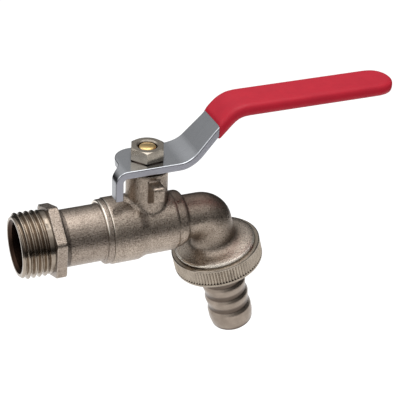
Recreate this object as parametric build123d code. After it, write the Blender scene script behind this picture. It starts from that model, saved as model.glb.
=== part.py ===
from build123d import *
import math
import os

# Quarter-turn hose tap: a threaded inlet, a ball valve with a bent steel lever, a spout and a hose union.
# X follows the water from the inlet to the spout, Z is up along the stem, all sizes are in millimetres.
# The origin lies on the inlet axis, where the full inlet thread begins.

# Inlet tail, with a 1/2 inch pipe thread
INLET_THREAD_D = 20.955
INLET_THREAD_LENGTH = 8.0
THREAD_DEPTH = 1.16
INLET_BORE_D = 15.2
INLET_BORE_DEPTH = 24.0
BORE_CHAMFER = 0.4
RELIEF_LENGTH = 1.1
HEX_ACROSS_FLATS = 22.0
HEX_LENGTH = 3.25
HEX_TURN = 7.5
HEX_SIDES = 6
HEX_CORNER_CUT = 0.6
HEX_FOOT_ROUND = 1.3
BARREL_D = 18.2
BARREL_LENGTH = 13.75
TAIL_COLLAR_D = 20.7
TAIL_COLLAR_LENGTH = 1.9
TAIL_COLLAR_ROUND = 0.5

# Ball, its seats and the water passage
WATERWAY_D = 10.0
BALL_D = 15.0
BALL_FIT = 0.03
BALL_ROOM = 0.4
SEAT_INSET = 0.5
SEAT_LAND = 0.8
SEAT_WIDTH = 2.5
SEAT_FIT = 0.02
SLOT_WIDTH = 3.2
SLOT_WALL = 0.5

# Forged valve body
SOCKET_D = 21.4
SOCKET_LENGTH = 9.0
SOCKET_CHAMFER = 0.35
SCREW_STEP = 0.6
SCREW_FIT = 0.03
STEP_LENGTH = 2.8
STEP_ROUND = 2.0
CHAMBER_D = 19.5
STEM_FROM_RIM = 13.8
CHAMBER_END = 8.1
MARK_WIDTH = 0.35
MARK_DEPTH = 0.25
BEAD_D = 18.6
BEAD_LENGTH = 3.6
BEAD_CREST_SHARE = 0.7
BEAD_ROOT_SHARE = 0.28
NECK_D = 14.4
ELBOW_FROM_STEM = 21.5
ELBOW_BEND = 4.0
BOSS_D = 13.3
BOSS_TOP = 20.6
BOSS_FILLET = 1.5
LUG_WIDTH = 3.7
LUG_REACH = 11.4
LUG_TOP = 18.8
LUG_FACE = 4.7
LUG_DROP = 2.6
LUG_ROUND = 0.7

# Spout: tilted forward, with a disc above the 3/4 inch union thread
SPOUT_TILT = 14.0
DISC_DEPTH = 12.4
DISC_D = 26.9
DISC_THICKNESS = 0.6
DISC_RISE = 1.1
DISC_EDGE = 0.25
FLARE_RADIUS = 2.2
UNION_THREAD_D = 26.441
SPIGOT_LENGTH = 3.6

# Stem with its seals
STEM_D = 7.0
STEM_FIT = 0.03
STEM_COLLAR_D = 9.2
STEM_COLLAR_HEIGHT = 1.8
STEM_COLLAR_ROOM = 0.15
TANG_LENGTH = 8.0
TANG_FIT = 0.1
THRUST_THICKNESS = 0.8
THRUST_GAP = 0.05
WEB_HEIGHT = 1.5
STUFFING_D = 10.0
PACKING_HEIGHT = 4.0
GLAND_SLOT = 1.6
GLAND_SLOT_DEPTH = 1.2
SEAL_FIT = 0.02
SPINDLE_D = 6.0
SPINDLE_FLATS = 5.0
SPINDLE_RECESS = 0.25
SPINDLE_DOME = 0.9

# Lever pressed from steel strip, its plastic sleeve and its nut
LEVER_BOTTOM = 21.7
LEVER_THICKNESS = 2.5
LEVER_EDGE_ROUND = 0.4
LEVER_WIDTH = 15.2
LEVER_END = 9.9
LEVER_END_ROUND = 6.4
LEVER_TAPER_X = 10.0
LEVER_TAPER_ROUND = 15.0
LEVER_BEND_X = 12.3
LEVER_RISE = 15.45
LEVER_RAMP_ANGLE = 46.0
LOWER_BEND_RADIUS = 10.0
UPPER_BEND_RADIUS = 8.0
LEVER_LENGTH = 83.35
GRIP_WIDTH = 12.4
GRIP_TIP_ROUND = 6.0
TAB_OUTER_X = 12.8
TAB_BOTTOM = 14.2
TAB_WIDTH = 4.2
TAB_BEND_RADIUS = 2.6
TAB_BLEND = 3.0
STOP_GAP = 0.3
SLEEVE_WALL = 0.8
SLEEVE_FIT = 0.02
SLEEVE_FROM_BEND = 8.8
SLEEVE_TOP_ROUND = 0.5
SLEEVE_UNDER_ROUND = 1.3
LEVER_FIT = 0.05
NUT_ACROSS_FLATS = 10.0
NUT_HEIGHT = 4.2
NUT_CHAMFER_ANGLE = 28.0
NUT_SINK = 0.4
NUT_TURN = 9.0

# Hose union: knurled ring, gasket and barbed hose tail
RING_D = 29.6
RING_GAP = 0.35
RING_BEVEL = 0.35
RING_RIM = 0.35
RING_EDGE_ROUND = 0.15
RING_FOOT_ROUND = 0.8
KNURL_DEPTH = 0.42
KNURL_COUNT = 90
UNION_FIT = 0.05
LIP_THICKNESS = 1.1
LIP_FIT = 0.3
GASKET_D = 23.6
GASKET_BORE_D = 12.0
GASKET_THICKNESS = 1.4
GASKET_FIT = 0.02
HOSE_COLLAR_D = 23.8
HOSE_COLLAR_THICKNESS = 1.2
HOSE_NECK_D = 14.2
HOSE_BORE_D = 10.4
BARB_CREST_D = 14.9
BARB_VALLEY_D = 13.9
BARB_COUNT = 4
BARB_PITCH = 5.4
BARB_SHOULDER = 1.8
BARB_TAPER = 3.0
BARB_ROUND = 2.0
FIRST_BARB = 3.4
LAST_LAND = 3.0
NOSE_D = 13.9
NOSE_LENGTH = 2.8
NOSE_ROUND = 8.0
HOSE_TIP_D = 11.5
HOSE_TIP_LENGTH = 1.1
HOSE_TIP_ROUND = 1.5

# Stations along the inlet axis
relief_x = INLET_THREAD_LENGTH
hex_x = relief_x + RELIEF_LENGTH
barrel_x = hex_x + HEX_LENGTH
tail_collar_x = barrel_x + BARREL_LENGTH
rim_x = tail_collar_x + TAIL_COLLAR_LENGTH
stem_x = rim_x + STEM_FROM_RIM
elbow_x = stem_x + ELBOW_FROM_STEM
elbow_turn = 90 - SPOUT_TILT
elbow_reach = ELBOW_BEND * math.tan(math.radians(elbow_turn / 2))

# Radii of the ball chamber, worked out from the ball
ball_r = BALL_D / 2
waterway_r = WATERWAY_D / 2
chamber_bore_r = ball_r + BALL_ROOM
screw_r = chamber_bore_r + SCREW_STEP
seat_r = ball_r - SEAT_INSET
seat_front = math.sqrt(ball_r**2 - (seat_r - SEAT_LAND) ** 2)
seat_back = seat_front + SEAT_WIDTH
tail_end_x = stem_x - seat_front - SEAT_LAND / 2

# Heights up the stem
collar_z = ball_r + STEM_COLLAR_ROOM
thrust_z = collar_z + STEM_COLLAR_HEIGHT + THRUST_GAP
web_z = thrust_z + THRUST_THICKNESS
packing_z = web_z + WEB_HEIGHT
gland_z = packing_z + PACKING_HEIGHT
lever_top = LEVER_BOTTOM + LEVER_THICKNESS
nut_top = lever_top + NUT_HEIGHT
stem_axis = Pos(stem_x, 0, 0)

# Depths below the elbow centre, down the tilted spout
spout = Pos(elbow_x, 0, 0) * Rot(0, -SPOUT_TILT, 0)
spigot_end = DISC_DEPTH + SPIGOT_LENGTH
gasket_top = spigot_end + GASKET_FIT
hose_collar_top = gasket_top + GASKET_THICKNESS
hose_collar_foot = hose_collar_top + HOSE_COLLAR_THICKNESS
ring_top = DISC_DEPTH + RING_GAP
lip_top = hose_collar_foot + GASKET_FIT
ring_foot = lip_top + LIP_THICKNESS


def rounded_outline(corners):
    """Face bounded by straight sides, with each (x, y, radius) corner rounded by a tangent arc."""
    count = len(corners)
    ends = []
    for i, (x, y, radius) in enumerate(corners):
        here = Vector(x, y)
        before = (here - Vector(*corners[i - 1][:2])).normalized()
        after = (Vector(*corners[(i + 1) % count][:2]) - here).normalized()
        turn = math.radians(before.get_angle(after))
        reach = radius * math.tan(turn / 2)
        ends.append((here - before * reach, here + after * reach, before))
    edges = []
    for i, (start, stop, direction) in enumerate(ends):
        if (stop - start).length > 1e-6:
            edges.append(TangentArc(start, stop, tangent=direction))
        edges.append(Line(stop, ends[(i + 1) % count][0]))
    return make_face(edges)


def strip_section(path, thickness, tip_extra=0.0):
    """Side view of bent strip: path holds (x, z, bend radius) along the middle of its thickness."""
    half = thickness / 2
    points = [Vector(x, z) for x, z, _ in path]
    steps = [(b - a).normalized() for a, b in zip(points, points[1:])]
    points[-1] = points[-1] + steps[-1] * tip_extra
    sides = {1: [], -1: []}
    for i, (point, (_, _, bend)) in enumerate(zip(points, path)):
        into = steps[max(i - 1, 0)]
        out = steps[min(i, len(steps) - 1)]
        normal = Vector(-into.Y - out.Y, into.X + out.X).normalized()
        spread = half / normal.dot(Vector(-out.Y, out.X))
        turn = math.copysign(1, into.X * out.Y - into.Y * out.X)
        for side, corners in sides.items():
            corner = point + normal * (spread * side)
            radius = bend - side * turn * half if bend else 0
            corners.append((corner.X, corner.Y, radius))
    return Plane.XZ * rounded_outline(sides[1] + sides[-1][::-1])


def turned(points, axis=Axis.X):
    """Solid turned from a closed outline of (along, radius) points about the X axis, or about Z."""
    if axis == Axis.X:
        return revolve(make_face(Polyline(*points, close=True)), Axis.X)
    flipped = [(radius, along) for along, radius in points]
    return revolve(Plane.XZ * make_face(Polyline(*flipped, close=True)), Axis.Z)


def disc(radius, low, high):
    """Upright cylinder between two heights."""
    return Pos(0, 0, low) * Cylinder(radius, high - low, align=(Align.CENTER, Align.CENTER, Align.MIN))


def ring(outer, inner, low, high):
    """Upright ring between two heights."""
    return disc(outer, low, high) - disc(inner, low - 1, high + 1)


def hexagon(across_flats, height):
    """Upright hexagonal prism with a corner towards +X."""
    return extrude(RegularPolygon(across_flats / 2, HEX_SIDES, major_radius=False), height)


def make_inlet_tail():
    thread_r = INLET_THREAD_D / 2
    root_r = thread_r - THREAD_DEPTH
    barrel_r = BARREL_D / 2
    collar_r = TAIL_COLLAR_D / 2
    flat_r = HEX_ACROSS_FLATS / 2
    foot_r = (barrel_r + HEX_FOOT_ROUND + flat_r) / 2
    profile = rounded_outline(
        [
            (-THREAD_DEPTH, 0, 0),
            (-THREAD_DEPTH, root_r, 0),
            (0, thread_r, 0),
            (relief_x, thread_r, 0),
            (relief_x, root_r, 0),
            (hex_x, root_r, 0),
            (hex_x, foot_r, 0),
            (barrel_x, foot_r, 0),
            (barrel_x, barrel_r, HEX_FOOT_ROUND),
            (tail_collar_x, barrel_r, 0),
            (tail_collar_x, collar_r, TAIL_COLLAR_ROUND),
            (rim_x, collar_r, 0),
            (rim_x, screw_r, 0),
            (tail_end_x, screw_r, 0),
            (tail_end_x, 0, 0),
        ]
    )
    shell = revolve(profile, Axis.X)
    corner_r = flat_r / math.cos(math.pi / HEX_SIDES)
    cut_r = corner_r - HEX_CORNER_CUT
    bevel = HEX_CORNER_CUT * math.tan(math.radians(NUT_CHAMFER_ANGLE))
    limit = turned(
        [
            (hex_x, 0),
            (hex_x, cut_r),
            (hex_x + bevel, corner_r),
            (barrel_x - bevel, corner_r),
            (barrel_x, cut_r),
            (barrel_x, 0),
        ]
    )
    across = Pos(hex_x, 0, 0) * Rot(HEX_TURN, 0, 0) * Rot(0, 90, 0) * hexagon(HEX_ACROSS_FLATS, HEX_LENGTH)
    bore_r = INLET_BORE_D / 2
    passage = turned(
        [
            (-THREAD_DEPTH - 1, 0),
            (-THREAD_DEPTH - 1, bore_r + BORE_CHAMFER + 1),
            (-THREAD_DEPTH + BORE_CHAMFER, bore_r),
            (INLET_BORE_DEPTH, bore_r),
            (INLET_BORE_DEPTH + bore_r - waterway_r, waterway_r),
            (stem_x - seat_back, waterway_r),
            (stem_x - seat_back, seat_r + SEAT_FIT),
            (tail_end_x + 1, seat_r + SEAT_FIT),
            (tail_end_x + 1, 0),
        ]
    )
    return shell + (across & limit) - passage


def body_outside():
    socket_r = SOCKET_D / 2
    chamber_r = CHAMBER_D / 2
    bead_r = BEAD_D / 2
    neck_r = NECK_D / 2
    step_x = rim_x + SOCKET_LENGTH
    mark_x = stem_x + CHAMBER_END
    bead_x = mark_x + MARK_WIDTH
    bead_end = bead_x + BEAD_LENGTH
    bead_fall = bead_r - neck_r
    corners = [
        (rim_x, 0, 0),
        (rim_x, socket_r - SOCKET_CHAMFER, 0),
        (rim_x + SOCKET_CHAMFER, socket_r, 0),
        (step_x, socket_r, STEP_ROUND),
        (step_x + STEP_LENGTH, chamber_r, STEP_ROUND),
        (mark_x, chamber_r, MARK_DEPTH / 2),
        (mark_x, chamber_r - MARK_DEPTH - MARK_DEPTH, 0),
        (bead_x, chamber_r - MARK_DEPTH - MARK_DEPTH, 0),
        (bead_x, bead_r, MARK_DEPTH / 4),
        (bead_end, bead_r, BEAD_CREST_SHARE * bead_fall),
        (bead_end, neck_r, BEAD_ROOT_SHARE * bead_fall),
        (elbow_x - elbow_reach, neck_r, 0),
        (elbow_x - elbow_reach, 0, 0),
    ]
    barrel = revolve(rounded_outline(corners), Axis.X)
    outside = barrel + stem_axis * disc(BOSS_D / 2, 0, BOSS_TOP)
    seam = outside.edges().filter_by(GeomType.BSPLINE)
    return fillet(seam, BOSS_FILLET)


def make_lug(side, shift):
    """Stop lug on the boss, on the -Y or +Y side, moved along X."""
    boss_r = BOSS_D / 2
    foot = LUG_TOP - LUG_FACE
    section = [
        (side * boss_r / 2, LUG_TOP),
        (side * LUG_REACH, LUG_TOP),
        (side * LUG_REACH, foot),
        (side * boss_r, foot - LUG_DROP),
        (side * boss_r / 2, foot - LUG_DROP),
    ]
    lug = extrude(Plane.YZ * make_face(Polyline(*section, close=True)), LUG_WIDTH / 2, both=True)
    face = lug.faces().sort_by(Axis.Y)[0 if side < 0 else -1]
    return stem_axis * Pos(shift, 0, 0) * fillet(face.edges(), LUG_ROUND)


def make_elbow():
    """Outer side of the bend from the neck into the spout."""
    neck_r = NECK_D / 2
    start = Plane(origin=(elbow_x - elbow_reach, 0, 0), x_dir=(0, 1, 0), z_dir=(1, 0, 0))
    section = Circle(neck_r) - Pos(0, -ELBOW_BEND - neck_r) * Rectangle(4 * neck_r, 2 * neck_r)
    centre = Axis((elbow_x - elbow_reach, 0, -ELBOW_BEND), (0, 1, 0))
    return revolve(start * section, centre, revolution_arc=elbow_turn)


def tab_spread():
    """How far the blend at the tab's root stands past its inner edge where the tab hangs straight."""
    inside = TAB_OUTER_X - LEVER_THICKNESS + LEVER_EDGE_ROUND - LEVER_END
    inside = min(max(inside, 0), TAB_BLEND)
    return TAB_BLEND - math.sqrt(inside * (2 * TAB_BLEND - inside))


def make_valve_body():
    back_lug_shift = LUG_WIDTH / 2 - (LEVER_WIDTH / 2 - TAB_WIDTH) + tab_spread() + STOP_GAP
    outside = body_outside() + make_lug(-1, 0) + make_lug(1, back_lug_shift)

    neck_r = NECK_D / 2
    disc_r = DISC_D / 2
    edge_top = -DISC_DEPTH + DISC_THICKNESS
    union_r = UNION_THREAD_D / 2
    corners = [
        (0, -elbow_reach, 0),
        (neck_r, -elbow_reach, 0),
        (neck_r, edge_top + DISC_RISE, FLARE_RADIUS),
        (disc_r, edge_top, DISC_EDGE),
        (disc_r, -DISC_DEPTH, 0),
        (union_r, -DISC_DEPTH, 0),
        (union_r, -spigot_end, 0),
        (0, -spigot_end, 0),
    ]
    outlet = revolve(Plane.XZ * rounded_outline(corners), Axis.Z)
    outside = outside + make_elbow() + spout * outlet

    passage = turned(
        [
            (rim_x - 1, 0),
            (rim_x - 1, screw_r + SCREW_FIT),
            (tail_end_x + SEAT_LAND / 2, screw_r + SCREW_FIT),
            (tail_end_x + SEAT_LAND / 2, chamber_bore_r),
            (stem_x + seat_front + SEAT_LAND / 2, chamber_bore_r),
            (stem_x + seat_front + SEAT_LAND / 2, seat_r + SEAT_FIT),
            (stem_x + seat_back, seat_r + SEAT_FIT),
            (stem_x + seat_back, waterway_r),
            (elbow_x, waterway_r),
            (elbow_x, 0),
        ]
    )
    outside = outside - passage
    outside = outside - spout * (Sphere(waterway_r) + disc(waterway_r, -spigot_end - 1, 0))
    stem_r = STEM_D / 2
    bores = disc(STEM_COLLAR_D / 2 + STEM_FIT, 0, web_z)
    bores += disc(stem_r + STEM_FIT, 0, BOSS_TOP)
    bores += disc(STUFFING_D / 2 + SEAL_FIT, packing_z, BOSS_TOP + 1)
    return outside - stem_axis * bores


def make_ball():
    ball = Sphere(ball_r) - Rot(0, 90, 0) * Cylinder(waterway_r, BALL_D + 1)
    floor = waterway_r + SLOT_WALL
    slot = Box(SLOT_WIDTH, BALL_D, BALL_D, align=(Align.CENTER, Align.CENTER, Align.MIN))
    return stem_axis * (ball - Pos(0, 0, floor) * slot)


def make_seat(side):
    """Seat ring on the inlet (-1) or outlet (+1) side of the ball."""
    seal_r = ball_r + BALL_FIT
    mouth = (seat_front, math.sqrt(seal_r**2 - seat_front**2))
    throat = (math.sqrt(seal_r**2 - waterway_r**2), waterway_r)
    between = math.atan2(mouth[1], mouth[0]) / 2 + math.atan2(throat[1], throat[0]) / 2
    cup = ThreePointArc(throat, (seal_r * math.cos(between), seal_r * math.sin(between)), mouth)
    back = Polyline(mouth, (seat_front, seat_r), (seat_back, seat_r), (seat_back, waterway_r), throat)
    seat = revolve(make_face(cup.edges() + back.edges()), Axis.X)
    return stem_axis * Rot(0, 0, 90 - 90 * side) * seat


def double_d(diameter, flats, low, high):
    """Upright round bar between two heights, with two flats that face along X."""
    bar = disc(diameter / 2, low, high)
    slab = Pos(0, 0, low) * Box(flats, diameter, high - low, align=(Align.CENTER, Align.CENTER, Align.MIN))
    return bar & slab


def make_stem():
    spindle_r = SPINDLE_D / 2
    spindle_top = nut_top - SPINDLE_RECESS
    tang_foot = waterway_r + SLOT_WALL + TANG_FIT
    tang = Box(
        SLOT_WIDTH - 2 * TANG_FIT,
        TANG_LENGTH,
        collar_z - tang_foot,
        align=(Align.CENTER, Align.CENTER, Align.MIN),
    )
    tang = Pos(0, 0, tang_foot) * tang & disc(STEM_COLLAR_D / 2, tang_foot, collar_z)
    stem = disc(STEM_COLLAR_D / 2, collar_z, collar_z + STEM_COLLAR_HEIGHT)
    stem += disc(STEM_D / 2, collar_z, LEVER_BOTTOM)
    stem += double_d(SPINDLE_D, SPINDLE_FLATS, LEVER_BOTTOM, lever_top)
    thread = disc(spindle_r, lever_top, spindle_top)
    thread = fillet(thread.edges().sort_by(Axis.Z)[-1], SPINDLE_DOME)
    return stem_axis * (stem + tang + thread)


def make_gland_nut():
    gland = ring(STUFFING_D / 2, STEM_D / 2 + STEM_FIT, gland_z, BOSS_TOP)
    slot = Box(GLAND_SLOT, STUFFING_D, 2 * GLAND_SLOT_DEPTH)
    return stem_axis * (gland - Pos(0, 0, BOSS_TOP) * slot)


def lever_path():
    """Middle of the lever strip as (x, z, bend radius), from the stop tab to the tip of the grip."""
    middle = LEVER_BOTTOM + LEVER_THICKNESS / 2
    run = LEVER_RISE / math.tan(math.radians(LEVER_RAMP_ANGLE))
    return [
        (LEVER_THICKNESS / 2 - TAB_OUTER_X, TAB_BOTTOM, 0),
        (LEVER_THICKNESS / 2 - TAB_OUTER_X, middle, TAB_BEND_RADIUS),
        (LEVER_BEND_X, middle, LOWER_BEND_RADIUS),
        (LEVER_BEND_X + run, middle + LEVER_RISE, UPPER_BEND_RADIUS),
        (LEVER_LENGTH, middle + LEVER_RISE, 0),
    ]


def grip_outline(start, extra):
    """Plan of the grip from a station along the lever, grown by extra on every side."""
    half = GRIP_WIDTH / 2 + extra
    tip = LEVER_LENGTH + extra
    return rounded_outline(
        [
            (start, -half, 0),
            (tip, -half, GRIP_TIP_ROUND + extra),
            (tip, half, GRIP_TIP_ROUND + extra),
            (start, half, 0),
        ]
    )


def make_lever():
    half = LEVER_WIDTH / 2
    grip_half = GRIP_WIDTH / 2
    taper_end = LEVER_BEND_X + SLEEVE_FROM_BEND - SLEEVE_WALL
    tab_inner = TAB_WIDTH - half
    plan = rounded_outline(
        [
            (-TAB_OUTER_X - 1, -half, 0),
            (LEVER_TAPER_X, -half, LEVER_TAPER_ROUND),
            (taper_end, -grip_half, 0),
            (LEVER_LENGTH, -grip_half, GRIP_TIP_ROUND),
            (LEVER_LENGTH, grip_half, GRIP_TIP_ROUND),
            (taper_end, grip_half, 0),
            (LEVER_TAPER_X, half, LEVER_TAPER_ROUND),
            (-LEVER_END, half, LEVER_END_ROUND),
            (-LEVER_END, tab_inner, TAB_BLEND),
            (-TAB_OUTER_X - 1, tab_inner, 0),
        ]
    )
    bent = extrude(strip_section(lever_path(), LEVER_THICKNESS), LEVER_WIDTH, both=True)
    lever = bent & extrude(plan, lever_top + 2 * LEVER_RISE)
    lever = fillet(lever.edges(), LEVER_EDGE_ROUND)
    hole = double_d(SPINDLE_D + 2 * LEVER_FIT, SPINDLE_FLATS + 2 * LEVER_FIT, LEVER_BOTTOM - 1, lever_top + 1)
    return stem_axis * (lever - hole)


def make_grip_sleeve():
    bend, upper, tip = lever_path()[2:]
    bend = (bend[0], bend[1], 0)
    route = FilletPolyline(bend[:2], upper[:2], (tip[0] + SLEEVE_WALL, tip[1]), radius=UPPER_BEND_RADIUS)
    route = Plane.XZ * route
    half = GRIP_WIDTH / 2 + SLEEVE_WALL
    depth = LEVER_THICKNESS / 2 + SLEEVE_WALL
    section = rounded_outline(
        [
            (-half, -depth, SLEEVE_UNDER_ROUND),
            (half, -depth, SLEEVE_UNDER_ROUND),
            (half, depth, SLEEVE_TOP_ROUND),
            (-half, depth, SLEEVE_TOP_ROUND),
        ]
    )
    start = Plane(origin=route @ 0, x_dir=(0, -1, 0), z_dir=route % 0)
    skin = sweep(start * section, path=route)
    height = lever_top + 2 * LEVER_RISE
    dip_line = LEVER_BEND_X + SLEEVE_FROM_BEND
    skin = skin & extrude(grip_outline(dip_line, SLEEVE_WALL), height)
    room = LEVER_THICKNESS + 2 * SLEEVE_FIT
    pocket = extrude(strip_section([bend, upper, tip], room, SLEEVE_FIT), GRIP_WIDTH, both=True)
    pocket = pocket & extrude(grip_outline(0, SLEEVE_FIT), height)
    return stem_axis * (skin - pocket)


def make_lever_nut():
    flat_r = NUT_ACROSS_FLATS / 2
    corner_r = flat_r / math.cos(math.pi / HEX_SIDES)
    bevel = (corner_r - flat_r) * math.tan(math.radians(NUT_CHAMFER_ANGLE))
    blank = Pos(0, 0, lever_top) * Rot(0, 0, NUT_TURN) * hexagon(NUT_ACROSS_FLATS, NUT_HEIGHT)
    limit = turned(
        [
            (lever_top, 0),
            (lever_top, flat_r),
            (lever_top + bevel, corner_r),
            (nut_top - bevel, corner_r),
            (nut_top, flat_r),
            (nut_top, 0),
        ],
        Axis.Z,
    )
    hole_r = SPINDLE_D / 2 + LEVER_FIT
    hole = turned(
        [
            (lever_top - 1, 0),
            (lever_top - 1, hole_r),
            (nut_top - NUT_SINK, hole_r),
            (nut_top + 1, hole_r + NUT_SINK + 1),
            (nut_top + 1, 0),
        ],
        Axis.Z,
    )
    return stem_axis * ((blank & limit) - hole)


def make_union_nut():
    ring_r = RING_D / 2
    root_r = ring_r - KNURL_DEPTH
    bore_r = UNION_THREAD_D / 2 + UNION_FIT
    lip_r = HOSE_NECK_D / 2 + LIP_FIT
    band_top = -ring_top - RING_BEVEL - RING_RIM
    band_foot = -ring_foot + RING_FOOT_ROUND + RING_RIM
    corners = [
        (bore_r, -ring_top, 0),
        (ring_r - RING_BEVEL, -ring_top, 0),
        (ring_r, -ring_top - RING_BEVEL, RING_EDGE_ROUND),
        (ring_r, band_top, 0),
        (root_r, band_top, 0),
        (root_r, band_foot, 0),
        (ring_r, band_foot, 0),
        (ring_r, -ring_foot, RING_FOOT_ROUND),
        (lip_r, -ring_foot, 0),
        (lip_r, -lip_top, 0),
        (bore_r, -lip_top, 0),
    ]
    nut = revolve(Plane.XZ * rounded_outline(corners), Axis.Z)
    rim = []
    for i in range(2 * KNURL_COUNT):
        angle = math.pi * i / KNURL_COUNT
        radius = ring_r - KNURL_DEPTH * (i % 2)
        rim.append((radius * math.cos(angle), radius * math.sin(angle)))
    teeth = make_face(Polyline(*rim, close=True)) - Circle((bore_r + root_r) / 2)
    knurl = Pos(0, 0, band_foot) * extrude(teeth, band_top - band_foot)
    return spout * (nut + knurl)


def make_union_gasket():
    return spout * ring(GASKET_D / 2, GASKET_BORE_D / 2, -hose_collar_top, -gasket_top)


def make_hose_tail():
    crest_r = BARB_CREST_D / 2
    valley_r = BARB_VALLEY_D / 2
    neck_r = HOSE_NECK_D / 2
    bore_r = HOSE_BORE_D / 2
    collar_r = HOSE_COLLAR_D / 2
    corners = [
        (bore_r, -hose_collar_top, 0),
        (collar_r, -hose_collar_top, 0),
        (collar_r, -hose_collar_foot, 0),
        (neck_r, -hose_collar_foot, 0),
        (neck_r, -ring_foot, 0),
    ]
    first = ring_foot + FIRST_BARB
    for i in range(BARB_COUNT):
        crest = first + i * BARB_PITCH
        corners.append((valley_r, -crest + BARB_SHOULDER, BARB_ROUND))
        corners.append((crest_r, -crest, BARB_ROUND))
        if i < BARB_COUNT - 1:
            corners.append((valley_r, -crest - BARB_TAPER, BARB_ROUND))
    land_end = crest + LAST_LAND
    nose_end = land_end + NOSE_LENGTH
    tip = nose_end + HOSE_TIP_LENGTH
    corners.append((crest_r, -land_end, NOSE_ROUND))
    corners.append((NOSE_D / 2, -nose_end, HOSE_TIP_ROUND))
    corners.append((HOSE_TIP_D / 2, -tip, 0))
    corners.append((bore_r, -tip, 0))
    return spout * revolve(Plane.XZ * rounded_outline(corners), Axis.Z)


PIECES = {
    "valve_body": make_valve_body,
    "inlet_tail": make_inlet_tail,
    "ball": make_ball,
    "inlet_seat": lambda: make_seat(-1),
    "outlet_seat": lambda: make_seat(1),
    "stem": make_stem,
    "thrust_washer": lambda: stem_axis * ring(STEM_COLLAR_D / 2, STEM_D / 2 + STEM_FIT, thrust_z, web_z),
    "stem_packing": lambda: stem_axis * ring(STUFFING_D / 2, STEM_D / 2 + SEAL_FIT, packing_z, gland_z),
    "gland_nut": make_gland_nut,
    "lever": make_lever,
    "grip_sleeve": make_grip_sleeve,
    "lever_nut": make_lever_nut,
    "union_nut": make_union_nut,
    "union_gasket": make_union_gasket,
    "hose_tail": make_hose_tail,
}

os.makedirs("parts", exist_ok=True)
for name, make in PIECES.items():
    export_step(make(), f"parts/{name}.step")
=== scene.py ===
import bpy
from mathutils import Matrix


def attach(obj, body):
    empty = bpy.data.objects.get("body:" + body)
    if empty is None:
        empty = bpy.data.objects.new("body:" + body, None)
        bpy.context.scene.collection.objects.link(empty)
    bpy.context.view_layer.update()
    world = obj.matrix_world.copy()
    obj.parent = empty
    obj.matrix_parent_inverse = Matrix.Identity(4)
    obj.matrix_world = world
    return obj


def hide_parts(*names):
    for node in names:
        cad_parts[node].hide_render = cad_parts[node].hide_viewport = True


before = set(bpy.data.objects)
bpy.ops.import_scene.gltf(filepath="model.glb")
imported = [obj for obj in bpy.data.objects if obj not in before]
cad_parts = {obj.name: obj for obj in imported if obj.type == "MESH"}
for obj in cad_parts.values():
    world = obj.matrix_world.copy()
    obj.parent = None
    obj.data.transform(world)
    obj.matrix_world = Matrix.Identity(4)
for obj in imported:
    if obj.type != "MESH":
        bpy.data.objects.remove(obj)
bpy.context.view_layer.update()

import math

import bpy
import numpy as np
from mathutils import Matrix, Vector
from mathutils.bvhtree import BVHTree

# Valve body: one brass forging with the ball chamber, the stem boss, two stop lugs and the spout.
# It is shot blasted and nickel plated, which leaves a fine warm grey grain; its top under the lever is
# darkened with painted shade.
# The disc's edge is turned bright, the socket's turned chamfer has a painted highlight that grows towards its
# upper part, and the elbow's corner is worked smooth.
MM = 0.001
ELBOW_X = 63.3
ELBOW_CENTRE = (ELBOW_X * MM, 0, 0)
SPOUT_TILT = math.radians(14)
SPOUT_AXIS = Vector((math.sin(SPOUT_TILT), 0, -math.cos(SPOUT_TILT)))
SPOUT_START = 58.0
SPOUT_BLEND = 2.0
SOCKET_CHAMFER_END = 28.37
CHAMFER_HIGHLIGHT_START_Z = 4.0
CHAMFER_HIGHLIGHT_FULL_Z = 5.2
DISC_TOP = 10.0
DISC_RIM_RADIUS = 12.8
POLISH_START_RADIUS = 8.5
POLISH_FULL_RADIUS = 10.5
POLISH_SHARE = 0.2
# Painted shade: the top of the chamber and the elbow is darkened where the lever above shadows it and is
# mirrored in it.
LEVER_SHADE_START = 46.0
LEVER_SHADE_BLEND = 6.0
LEVER_SHADE_FULL_Z = 3.0
LEVER_SHADE_SHARE = 0.8
BODY_GRAIN = 0.34
BODY_MOTTLE = 3.5
BODY_RUB = 0.45
BODY_CORNER_SHADE = 2.4
EDGE_SOFTNESS = 0.6
ELBOW_SOFTNESS = 3.2
BODY_GRID = 0.32
BODY_PASSES = 160
PASS_SHARE = 0.5
WATERWAY_CLEAR = 5.9
WATERWAY_BLEND = 0.6
ELBOW_CORNER = (58.0, 5.0, -6.5)
CORNER_REACH = 7.5
CORNER_BLEND = 2.5
EDGE_SAMPLES = 6
CORNER_SHADE_SAMPLES = 8
RUB_PATCHES = 700.0
CORNER_SHADE_PATCHES = 900.0
BLASTED_LIGHT = (0.56, 0.47, 0.39, 1)
BLASTED_DARK = (0.22, 0.175, 0.14, 1)
# Worn bright nickel, also the colour of the painted highlights on the socket's chamfer and the collar.
RUBBED_AND_HIGHLIGHT_NICKEL = (0.80, 0.73, 0.64, 1)
# Colour of the painted shade in corners, creases and grooves.
CORNER_SHADE = (0.10, 0.075, 0.06, 1)
LEVER_SHADE = (0.16, 0.115, 0.09, 1)


def put(tree, kind, values=None, **settings):
    """Adds a shader node; a value that is another node's socket is linked, any other is set."""
    made = tree.nodes.new(kind)
    for name, value in settings.items():
        setattr(made, name, value)
    for name, value in (values or {}).items():
        if isinstance(value, bpy.types.NodeSocket):
            tree.links.new(value, made.inputs[name])
        else:
            made.inputs[name].default_value = value
    return made


def reckon(tree, operation, *values):
    """Output of a maths node over one, two or three values."""
    return put(tree, "ShaderNodeMath", dict(enumerate(values)), operation=operation).outputs[0]


def reckon_vector(tree, operation, values):
    """Outputs of a vector maths node."""
    return put(tree, "ShaderNodeVectorMath", values, operation=operation).outputs


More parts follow.
